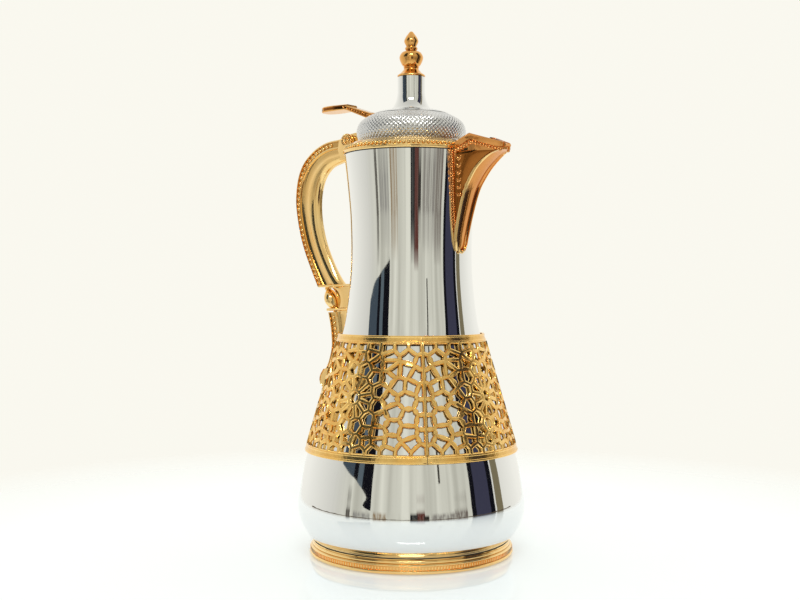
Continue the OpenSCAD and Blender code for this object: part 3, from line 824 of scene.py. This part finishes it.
# ---------------------------------------------------------------- handle
GRIP_OUTER = curve([(-53.4, 256.5), (-57, 256.2), (-68, 255), (-78.6, 250.6), (-87.4, 243.4), (-92.6, 234),
                    (-94.7, 221), (-93.6, 209), (-90, 194), (-84.3, 180), (-74.9, 161.7)], 6)
GRIP_INNER = curve([(-52.6, 242.4), (-57, 241.4), (-66, 238.6), (-73, 231), (-76, 219), (-75.3, 205),
                    (-71.2, 190), (-63.6, 175), (-56, 164.6), (-50, 160.6)], 6)
BRACKET_OUTER = curve([(-65.7, 145.2), (-64, 138), (-63, 130), (-63.1, 122), (-66.4, 112),
                       (-71.4, 105.5)], 6)
BRACKET_TOP = 147
BRACKET_LOW = 106.5
CHANNEL_PITCH = 3.5
CHANNEL_BEAD_R = 1.15


def across(outer, inner, half_outline):
    """A closed section from half its outline: (way from outer towards inner, half width)."""
    width = math.dist(outer, inner)
    nx, nz = (inner[0] - outer[0]) / width, (inner[1] - outer[1]) / width
    loop = half_outline + [(s, -y) for s, y in reversed(half_outline[1:-1])]
    return [(outer[0] + nx * s, y, outer[1] + nz * s) for s, y in loop]


def side_section(outer, inner, half, ridge):
    """A section across grip or bracket: each side has a sunk channel behind a thin lip, a ridge at
    that distance from the back, then a hollow flank."""
    width = math.dist(outer, inner)
    shape = [
        (0.15, 0.0), (0.05, half * 0.5), (0, half - 0.8), (0.25, half - 0.25), (0.7, half),
        (1.1, half - 0.1), (1.35, half - 1.2), (ridge - 0.35, half - 1.2), (ridge - 0.1, half - 0.15),
        (ridge + 0.25, half), (ridge + 0.7, half - 0.1), (ridge + 1.2, half - 1.2),
    ]
    flank = ((0.12, 1.8), (0.28, 1.8), (0.42, 1.1), (0.52, 0.7), (0.66, 1.0), (0.82, 1.9), (0.94, 3.1))
    shape += [(lerp(ridge + 1.2, width, way), half - deep) for way, deep in flank]
    return across(outer, inner, shape + [(width - 0.1, half * 0.2), (width - 0.1, 0.0)])


def waist_section(outer, inner):
    """A rounded section of the block between grip and bracket."""
    width = math.dist(outer, inner)
    return across(outer, inner, [
        (0.4, 0), (0.6, 1.2), (2.2, 2.2), (width * 0.4, 3.6), (width * 0.65, 3.4), (width - 1.6, 4.5),
        (width - 0.4, 4.0), (width, 2.6), (width, 0)])


def channel_beads(outer, inner, half, middle, first, last):
    """Beads in the sunk channel on both sides, at an even pitch along the handle's back."""
    count = int(path_length(outer) / CHANNEL_PITCH)
    places = []
    for i, (a, b) in enumerate(zip(resampled(outer, count + 1), resampled(inner, count + 1))):
        way = middle / math.dist(a, b)
        if first <= i / count <= last:
            places += [(lerp(a[0], b[0], way), side * (half - 0.95), lerp(a[1], b[1], way))
                       for side in (-1, 1)]
    return beads(places, CHANNEL_BEAD_R)


def grip():
    """The grip and its channel beads."""
    backs, fronts = resampled(GRIP_OUTER, 64), resampled(GRIP_INNER, 64)
    body = loft([side_section(a, b, 5, 4.9) for a, b in zip(backs, fronts)])
    return merged(body, channel_beads(GRIP_OUTER, GRIP_INNER, 5, 2.95, 0.06, 0.985))


def rod(start, end, half, radius):
    """A rounded line across both sides and the inner end of a section."""
    path = [(start[0], -half, start[1]), (end[0], -half, end[1]), (end[0], half, end[1]),
            (start[0], half, start[1])]
    up = Vector((0, 0, 1))
    rings = []
    for i, p in enumerate(path):
        along = Vector(path[min(i + 1, 3)]) - Vector(path[max(i - 1, 0)])
        side = along.cross(up).normalized() * (1.2 if i in (1, 2) else 1)
        rings.append([tuple(Vector(p) + (side * math.cos(t) + up * math.sin(t)) * radius)
                      for t in np.linspace(0, math.tau, 10, endpoint=False)])
    return loft(rings)


def waist():
    """The block between grip and bracket, with a rod across it at each end."""
    backs = curve([(-69.5, 163.6), (-62.6, 158.4), (-60.8, 151), (-62.6, 144.4)], 5)
    fronts = curve([(-46, 163.4), (-41.4, 159.4), (-39.9, 153), (-40.8, 144.4)], 5)
    block = loft([waist_section(a, b) for a, b in zip(resampled(backs, 16), resampled(fronts, 16))])
    return merged(block, rod((-73.6, 162.2), (-41.6, 163), 4.6, 0.85),
                  rod((-66.4, 147), (-41.2, 148), 4.3, 0.9))


def knop():
    """The egg knop behind the block, with a small collar at each end, leaning back."""
    profile = [
        (0, -8.4), (1.6, -8.2), (1.9, -7.4), (1.5, -6.8), (2.3, -6), (3.4, -4.2), (4.3, -1.6), (4.5, 0.2),
        (4.0, 2.4), (2.8, 4.6), (1.5, 5.9), (2, 6.5), (1.9, 7.3), (1.4, 7.8), (0, 8)]
    lean = Matrix.Translation((-66.2, 0, 153.8)) @ Matrix.Rotation(math.radians(-27), 4, "Y")
    return placed(lathe(profile, 48, closed=False), lean @ Matrix.Diagonal((1, 1.3, 1.12, 1)))


def body_or_band(z):
    """Radius of what the handle's lower end stands against."""
    if z < BAND_Z + BAND_H + 0.3:
        return max(body_radius(z), band_radius(z) + 0.5)
    return body_radius(z)


def curl_outline(inset):
    """The curled foot of the bracket, seen from the side."""
    shape = curve([(-69.6, 108.6), (-72.6, 104.6), (-73.2, 100.8), (-71.6, 97.6), (-68.2, 96.6),
                   (-64.6, 98.2)], 4)
    shape += [(-57.2, 101.2), (-54.6, 104), (-55.2, 110)]
    middle = sum((Vector(p) for p in shape), Vector((0, 0))) / len(shape)
    return [tuple(Vector(p) + (middle - Vector(p)).normalized() * inset) for p in shape]


def bracket():
    """The lower bracket with its channel beads, narrowing down to a curled foot on the band."""
    backs = resampled(BRACKET_OUTER, 30)
    fronts = [(-body_or_band(z) - 0.2, z) for z in np.linspace(BRACKET_TOP, BRACKET_LOW, 30)]
    body = loft([side_section(a, b, lerp(4.9, 4.3, i / 29), lerp(6.2, 4.2, i / 29))
                 for i, (a, b) in enumerate(zip(backs, fronts))])
    curl = loft([[(x, y, z) for x, z in curl_outline(inset)]
                 for y, inset in ((-4.1, 0.5), (-4.6, 0), (4.6, 0), (4.1, 0.5))])
    return merged(body, channel_beads(BRACKET_OUTER, fronts, 4.5, 3.2, 0.05, 0.97), curl)


def hinge_ears():
    """The two hinge ears, the web between them and a strap on each ear."""
    outline = arc((-HINGE_X, HINGE_Z), KNUCKLE_R, -25, 150, 20)
    outline += [(-54.6, 254.6), (-55.4, 249), (-53.4, 244.6), (-47, 243.6), (-41.9, 243.8), (-41.9, 247.5),
                (-41, 248.9), (-40.4, 250)]
    ear = bevelled(slab(outline, EAR_IN, EAR_OUT), 0.4)
    web = [(-56.6, 243.2), (-56.6, 254.9), (-54.3, 254.9), (-53.5, 251), (-51.4, 249.0), (-45.5, 248.9),
           (-41.9, 248.9), (-41.9, 243.4)]
    strap = [(-46.4, 254), (-44.2, 254.6), (-39.4, 247.8), (-41.9, 246.2)]
    side = merged(ear, bevelled(slab(strap, EAR_OUT - 0.3, EAR_OUT + 0.35), 0.15))
    return merged(side, mirrored_y(side), bevelled(slab(web, -EAR_IN - 0.2, EAR_IN + 0.2), 0.2))


def make_handle():
    """Cast handle: beaded grip, egg knop, beaded bracket and the two hinge ears."""
    casting = merged(grip(), waist(), knop(), bracket(), hinge_ears())
    piece("handle_gold_casting", casting, GOLD, "pot", ["handle"], sharp=34)


def make_hinge_caps():
    """Flower caps over the ends of the hinge pin."""
    cap = lathe([(0, 0), (3.7, 0), (3.85, 0.25), (3.75, 0.6), (3.3, 0.75), (2.9, 0.6), (2.8, 0.35),
                 (1.5, 0.35), (1.3, 0.6), (1.0, 1.3), (0.5, 1.55), (0, 1.6)], 48, closed=False)
    petals = beads(ring_places(9, 2.15, 0.45), 0.62)
    edge = beads(ring_places(22, 3.75, 0.35), 0.42)
    flower = merged(cap, petals, edge)
    caps = [placed(flower, Matrix.Translation((-HINGE_X, side * (EAR_OUT + 0.05), HINGE_Z))
                   @ Matrix.Rotation(math.radians(-90 * side), 4, "X")) for side in (-1, 1)]
    piece("hinge_flower_caps", merged(*caps), GOLD, "pot", ["hinge_caps"])


# ---------------------------------------------------------------- spout
SPOUT_LOW_Z = 182.7
SPOUT_CORNER = (53, 250)
SPOUT_TIP = (72, 243.8)
# The middle of the spout's front from foot to lip: place along X, height, half its width
SPOUT_FRONT = curve([
    (37.8, SPOUT_LOW_Z, 3.0), (38.8, 187, 4.4), (39.4, 191.7, 5.2), (42.3, 204, 5.8), (46.6, 217.6, 6.3),
    (51.2, 225.6, 6.7), (56.9, 232.4, 6.8), (65.2, 238.6, 5.6), (71.3, 240.4, 2.7),
], 6) + [(71.3, 244, 2.6), (71.3, 252, 2.6)]


def spout_rise(z):
    """How far up the spout a height is, from 0 at its foot to 1 at its top corner."""
    return min(1, (z - SPOUT_LOW_Z) / (SPOUT_CORNER[1] - SPOUT_LOW_Z))


def root_half_width(z):
    return lerp(3.4, 12.4, spout_rise(z))


def spout_half(front):
    """Half a level section of the spout, from its root to the middle of its front."""
    x, z, half = front
    root_w = root_half_width(z)
    root_x = math.sqrt(max(body_radius(z), 30) ** 2 - root_w ** 2) - 0.1
    full_x = lerp(root_x, x, 0.5)
    full_w = lerp(root_w, half, 0.5) + 0.2 + 4.4 * spout_rise(z) ** 3
    edge_x = x - 0.18 * half
    side = curve([(root_x, root_w), (full_x, full_w), (edge_x - 1.0, half + 0.15)], 6)
    deep = min(1.0, half / 6)
    return side + [
        (edge_x - 0.5, half + 0.5 * deep), (edge_x + 0.1, half + 0.45 * deep), (edge_x + 0.45, half - 0.1),
        (edge_x + 0.25, half - 0.75 * deep), (edge_x - 0.35, half - 1.25 * deep), (x - 0.75, half * 0.45),
        (x - 0.6, 0)]


def spout_side_y(x, z):
    """Half width of the spout's outside at a place on its side."""
    heights = [p[1] for p in SPOUT_FRONT]
    front_x, half = [float(np.interp(z, heights, [p[k] for p in SPOUT_FRONT])) for k in (0, 2)]
    side = [p for p in spout_half((front_x, z, half)) if p[1] > half - 0.2]
    return float(np.interp(x, [p[0] for p in side], [p[1] for p in side]))


def above_line(*line):
    """A block that takes away everything above a line across the spout's side."""
    return slab([*line, (77, line[-1][1]), (77, 270), (0, 270)], -40, 40)


def spout_shell():
    """The spout's body, its sloping top and the channel along it cut away."""
    rings = []
    for front in SPOUT_FRONT:
        half = spout_half(front)
        z = front[1]
        rings.append([(x, -y, z) for x, y in half] + [(x, y, z) for x, y in reversed(half[:-1])])
    plan = [(28, 7.5), (42, 7.5), (53, 9.2), (69.4, 1.5), (78, 1.5)]
    plan = [(x, -y) for x, y in plan] + plan[::-1]
    slope = (Matrix.Translation((30, 0, COLLAR_Z + 1.2)) @ Matrix.Rotation(math.radians(1.6), 4, "Y")
             @ Matrix.Translation((-30, 0, 0)))
    channel = placed(loft([[(x, y, z) for x, y in plan] for z in (0, 22)]), slope)
    return cut(loft(rings), above_line((0, SPOUT_CORNER[1] - 20), SPOUT_CORNER, SPOUT_TIP), channel)


def rim_section(x, z):
    """A section of the rounded band below the spout's top edge, on its +Y side."""
    low = z - (3.9 if x < 66 else lerp(3.9, 2.8, (x - 66) / 5))
    y_top, y_low = spout_side_y(x, z - 0.6), spout_side_y(x, low)
    return [(x, y_top - 0.9, z + 0.1), (x, y_top + 0.3, z + 0.1), (x, y_top + 0.65, z - 0.35),
            (x, lerp(y_top, y_low, 0.3) + 0.4, lerp(z, low, 0.35)),
            (x, lerp(y_top, y_low, 0.7) + 0.4, lerp(z, low, 0.7)), (x, y_low + 0.65, low + 0.35),
            (x, y_low + 0.25, low), (x, y_low - 0.7, low)]


def bead_line(line, count, wanted, below, out, radius):
    """Beads on the spout's side below a line: the first wanted of count even places."""
    places = [(x, spout_side_y(x, z - below) + out, z - below) for x, z in resampled(line, count)]
    return beads(places[:wanted], radius)


def root_beads():
    """Beads up the seam between spout and body."""
    places = []
    for z in np.arange(185.5, 242, 1.35):
        w = root_half_width(z)
        places.append((math.sqrt(body_radius(z) ** 2 - w ** 2) + 0.75, w + 0.5, z))
    return beads(places, 0.72)


def leaf_spray():
    """Six pairs of leaves down the spout's side, smaller towards its foot."""
    leaves = []
    for i in range(6):
        x, z = 44.4 - 0.5 * i, 236.5 - 4.2 * i
        size = (0.85, 0.6, 2.1 - 0.18 * i)
        leaves += [egg((x + side * 0.9, spout_side_y(x, z) + 0.15, z), size, side * 0.6)
                   for side in (-1, 1)]
    return merged(*leaves)


def cross_rod(stops):
    """A rod across the spout through stops: x, y, z, half depth along X, half height."""
    turns = np.linspace(0, math.tau, 8, endpoint=False)
    return loft([[(x + deep * math.cos(t), y, z + high * math.sin(t)) for t in turns]
                 for x, y, z, deep, high in stops])


def make_spout():
    """Open-topped spout with a banded rim, bead rows and a leaf spray."""
    root = (42.3, lerp(SPOUT_CORNER[1] - 20, SPOUT_CORNER[1], 42.3 / SPOUT_CORNER[0]))
    behind = resampled([root, SPOUT_CORNER], 12)
    before = resampled([SPOUT_CORNER, (70.3, 244.4)], 18)
    rim = loft([rim_section(x, z) for x, z in behind + before[1:]])
    small, large = bead_line(before, 13, 12, 4.8, 0.2, 0.95), bead_line(behind, 6, 6, 5.3, 0.25, 1.3)
    near_side = merged(rim, small, large, root_beads(), leaf_spray())
    lip = cross_rod([(70.6, y, 242.9, 1.05, 1.1) for y in (-2.7, 2.7)])
    spout = merged(spout_shell(), near_side, mirrored_y(near_side), lip)
    piece("spout_rose_gold", spout, COPPERY, "pot", ["spout"], sharp=32)


def make_spout_frame():
    """The raised edges of the spout's front, joined by a hoop round its foot."""
    path = [(x - 0.18 * half - 0.2, half + 0.35, z) for x, z, half in SPOUT_FRONT if z < 240.2]
    edge = strip(path, 2.8, 0.8)
    side = [(37.3, 3.7, 187.6, 0.5), (38, 3.3, 184.6, 0.85), (38.3, 1.8, 182.6, 0.95)]
    stops = [(x, -y, z, r) for x, y, z, r in side] + [(38.4, 0, 182.0, 1.0)] + side[::-1]
    hoop = cross_rod([(x, y, z, 0.7 * r, r) for x, y, z, r in stops])
    piece("spout_front_frame", merged(edge, mirrored_y(edge), hoop), GOLD, "pot")


def make_spout_panels():
    """The sunk side panels between the root, the rim and the front edge, as a thin dark sheet of painted
    shade and reflection.
    """
    rows = []
    for front in SPOUT_FRONT[3:-4]:
        side, z = spout_half(front)[2:13], front[1]
        rows.append([(x, y + 0.1, z) for x, y in side] + [(x, y - 0.5, z) for x, y in reversed(side)])
    panel = cut(loft(rows), above_line((0, 226), (SPOUT_CORNER[0], 246), (SPOUT_TIP[0], 239.8)))
    piece("spout_shaded_panels", merged(panel, mirrored_y(panel)), RECESS_SHADE, "pot", sharp=32)


# ---------------------------------------------------------------- studio
ROOM_TOP = 2.6
CARD_FOOT = -0.6
BLACK = (0.006, 0.006, 0.009)


def from_camera(turn, away, height):
    """A place at an angle in degrees to the right of the camera, seen from the pot, in metres."""
    angle = CAMERA_TURN + math.radians(turn)
    return away * math.sin(angle), -away * math.cos(angle), height


def camera_side(tree, coordinates):
    """How far a place or direction lies to the camera's side."""
    place = tree.nodes.new("ShaderNodeTexCoord")
    dot = tree.nodes.new("ShaderNodeVectorMath")
    dot.operation = "DOT_PRODUCT"
    dot.inputs[1].default_value = (math.sin(CAMERA_TURN), -math.cos(CAMERA_TURN), 0)
    tree.links.new(place.outputs[coordinates], dot.inputs[0])
    return dot.outputs["Value"]


def glow(name, colour=(1, 1, 1)):
    """An even glow: its material, its tree, the socket of its colour and the socket of its cover,
    which is 1 where it glows and 0 where it is clear."""
    material = bpy.data.materials.new(name)
    material.use_nodes = True
    tree = material.node_tree
    tree.nodes.clear()
    clear = tree.nodes.new("ShaderNodeBsdfTransparent")
    emission = tree.nodes.new("ShaderNodeEmission")
    mix = tree.nodes.new("ShaderNodeMixShader")
    output = tree.nodes.new("ShaderNodeOutputMaterial")
    emission.inputs["Color"].default_value = (*colour, 1)
    mix.inputs[0].default_value = 1
    tree.links.new(clear.outputs[0], mix.inputs[1])
    tree.links.new(emission.outputs[0], mix.inputs[2])
    tree.links.new(mix.outputs[0], output.inputs["Surface"])
    return material, tree, emission.inputs["Color"], mix.inputs[0]


def fading_glow(name, colour, top):
    """A glow with upright streaks that fades out towards a height."""
    material, tree, _, cover = glow(name, colour)
    place = tree.nodes.new("ShaderNodeTexCoord")
    split = tree.nodes.new("ShaderNodeSeparateXYZ")
    tree.links.new(place.outputs["Object"], split.inputs[0])
    faintest = 0.9 if max(colour) < 0.12 else 0.3
    streak = remap(tree, noise(tree, 22, 2, (1, 1, 0.12)), 0.38, 0.6, faintest, 1)
    fade = remap(tree, split.outputs["Z"], top - 0.13, top, 1, 0)
    both = tree.nodes.new("ShaderNodeMath")
    both.operation = "MULTIPLY"
    tree.links.new(streak, both.inputs[0])
    tree.links.new(fade, both.inputs[1])
    tree.links.new(both.outputs[0], cover)
    return material


def stage_mesh(name, points, faces, material):
    """A mesh in metres that belongs to the picture and not to the object."""
    mesh = bpy.data.meshes.new(name)
    mesh.from_pydata(points, [], faces)
    mesh.materials.append(material)
    made = new_object(name, mesh)
    return made


def upright(name, bottom, top, material):
    """An upright sheet between two rows of places, seen only in the polished metal."""
    n = len(bottom)
    faces = [(i, i + 1, n + i + 1, n + i) for i in range(n - 1)]
    made = stage_mesh(name, bottom + top, faces, material)
    made.visible_camera = False
    made.visible_diffuse = False
    made.visible_shadow = False


def card(name, left, right, lows, high, material, away=1.6):
    """A card between two angles from the camera; lows are the heights of its bottom at each end."""
    turns = np.linspace(left, right, 7)
    bottom = [from_camera(t, away, lerp(lows[0], lows[1], i / 6)) for i, t in enumerate(turns)]
    upright(name, bottom, [from_camera(t, away, high) for t in turns], material)


def make_tall_cards():
    """The dark upright reflections at both sides of the chrome and one thin line between them."""
    left = (
        ("card_left_slate", -78, -62, (0.40, 0.36), (0.055, 0.075, 0.095), 1.6),
        ("card_left_black", -62, -57, (0.36, 0.335), BLACK, 1.58),
        ("card_left_fold", -57, -51, (0.335, 0.31), (0.10, 0.13, 0.15), 1.6),
        ("card_left_dark", -51, -40, (0.31, 0.265), BLACK, 1.6),
    )
    right = (
        ("card_right_edge", 61, 66, (-1, -1), BLACK, 1.6),
        ("card_right_navy", 66, 84, (-1, -1), (0.045, 0.045, 0.075), 1.6),
        ("card_right_far_edge", 84, 90, (-1, -1), BLACK, 1.6),
        ("card_right_olive", 92, 102, (-1, -1), (0.20, 0.17, 0.10), 1.6),
        ("card_line", 27.5, 29.5, (0.4, 0.4), (0.06, 0.055, 0.045), 1.6),
    )
    for name, start, end, lows, colour, away in left + right:
        card(name, start, end, lows, ROOM_TOP, glow(name, colour)[0], away)


def make_low_cards():
    """The darker things low in the room, seen in the belly."""
    for name, start, end, high, colour, away in (
            ("card_low_black", -1, 6, 0.30, BLACK, 1.6),
            ("card_low_red", 5, 13, 0.36, (0.10, 0.022, 0.016), 1.62),
            ("card_low_dark", 12, 17, 0.22, (0.02, 0.014, 0.012), 1.6),
            ("card_low_brown", -37, -24, 0.28, (0.28, 0.19, 0.10), 1.6),
            ("card_low_grey", 19, 42, 0.26, (0.26, 0.24, 0.21), 1.6),
            ("card_low_brown_grey", 42, 56, 0.30, (0.16, 0.13, 0.11), 1.6),
            ("card_low_line", -66, -61.5, 0.30, (0.10, 0.09, 0.075), 1.6),
            ("card_low_lines", -58, -40, 0.24, (0.30, 0.29, 0.26), 1.64)):
        card(name, start, end, (CARD_FOOT, CARD_FOOT), high, fading_glow(name, colour, high), away)


def make_far_edge():
    """The uneven dark line where floor and room meet, seen only in the polished metal."""
    turns = np.linspace(-110, 110, 241)
    heights = [0.007 + 0.006 * abs(math.sin(0.31 * t) * math.sin(0.113 * t + 1)) for t in turns]
    top = [from_camera(t, 0.5, z) for t, z in zip(turns, heights)]
    material = glow("far_edge_line", (0.11, 0.085, 0.06))[0]
    upright("far_edge_line", [from_camera(t, 0.5, 0.0) for t in turns], top, material)


def make_room():
    """The world: a bright wall behind the pot and a dimmer cream room on the camera's side."""
    world = bpy.data.worlds.new("room")
    bpy.context.scene.world = world
    world.use_nodes = True
    tree = world.node_tree
    facing = remap(tree, camera_side(tree, "Generated"), -0.75, 0.35, 0, 1)
    colour = blend(tree, facing, (0.955, 0.94, 0.865), (0.63, 0.62, 0.56))
    tree.links.new(colour, tree.nodes["Background"].inputs["Color"])


def make_streaky_wall():
    """A far wall on the camera's side, seen only in the polished metal, with soft upright streaks."""
    material, tree, colour, cover = glow("streaky_wall")
    streaks = remap(tree, noise(tree, 1.9, 3, (1, 1, 0.1)), 0.36, 0.64, 0, 1)
    tree.links.new(blend(tree, streaks, (0.52, 0.51, 0.43), (0.80, 0.79, 0.68)), colour)
    tree.links.new(remap(tree, camera_side(tree, "Object"), 0.2, 1.2, 0, 1), cover)
    rows = [[from_camera(t, 2.4, z) for t in np.linspace(-89, 89, 61)] for z in (-1.2, 3.4)]
    upright("streaky_wall", *rows, material)


def make_floor():
    """A pale glossy floor that fades out into the room."""
    material, tree, shader = node_tree("pale_floor")
    shader.inputs["Base Color"].default_value = (0.89, 0.94, 0.97, 1)
    shader.inputs["Roughness"].default_value = 0.05
    shader.inputs["Emission Color"].default_value = (0.86, 0.95, 1, 1)
    shader.inputs["Emission Strength"].default_value = 0.22
    shader.inputs["Specular IOR Level"].default_value = 0.4
    place = tree.nodes.new("ShaderNodeTexCoord")
    length = tree.nodes.new("ShaderNodeVectorMath")
    length.operation = "LENGTH"
    tree.links.new(place.outputs["Object"], length.inputs[0])
    fade = remap(tree, length.outputs["Value"], 0.27, 0.46, 1, 0)
    tree.links.new(fade, shader.inputs["Alpha"])
    radius, sides = 0.5, 96
    stage_mesh("floor", ring_places(sides, radius, 0), [tuple(range(sides))], material)


def make_top_light():
    """A long narrow soft light above and behind the camera, turned towards the pot's lower body."""
    light = bpy.data.lights.new("soft_top", "AREA")
    light.shape = "RECTANGLE"
    light.size, light.size_y = 0.6, 0.09
    light.energy = 4
    light.color = (1, 0.99, 0.96)
    place, target = Vector(from_camera(0, 0.95, 1.25)), Vector((0, 0, 0.05))
    made = new_object("soft_top", light)
    made.location = place
    made.rotation_euler = (target - place).to_track_quat("-Z", "Y").to_euler()


def make_camera():
    """The photo's view: level, its frame shifted a little to the left and down."""
    data = bpy.data.cameras.new("camera")
    data.lens = 50.4
    data.sensor_width = 36
    data.shift_x = -0.014125
    data.shift_y = -0.0125
    made = new_object("camera", data)
    made.location = from_camera(0, CAMERA_FAR, CAMERA_HEIGHT)
    made.rotation_euler = (math.radians(90), 0, CAMERA_TURN)
    bpy.context.scene.camera = made


for make in (make_camera, make_body, make_collar, make_foot, make_band, make_dome, make_neck,
             make_finial, make_lever, make_hinge_arm, make_handle, make_hinge_caps, make_spout,
             make_spout_frame, make_spout_panels, make_tall_cards, make_low_cards, make_far_edge,
             make_room, make_streaky_wall, make_floor, make_top_light):
    make()

bpy.context.scene.view_settings.view_transform = "Standard"
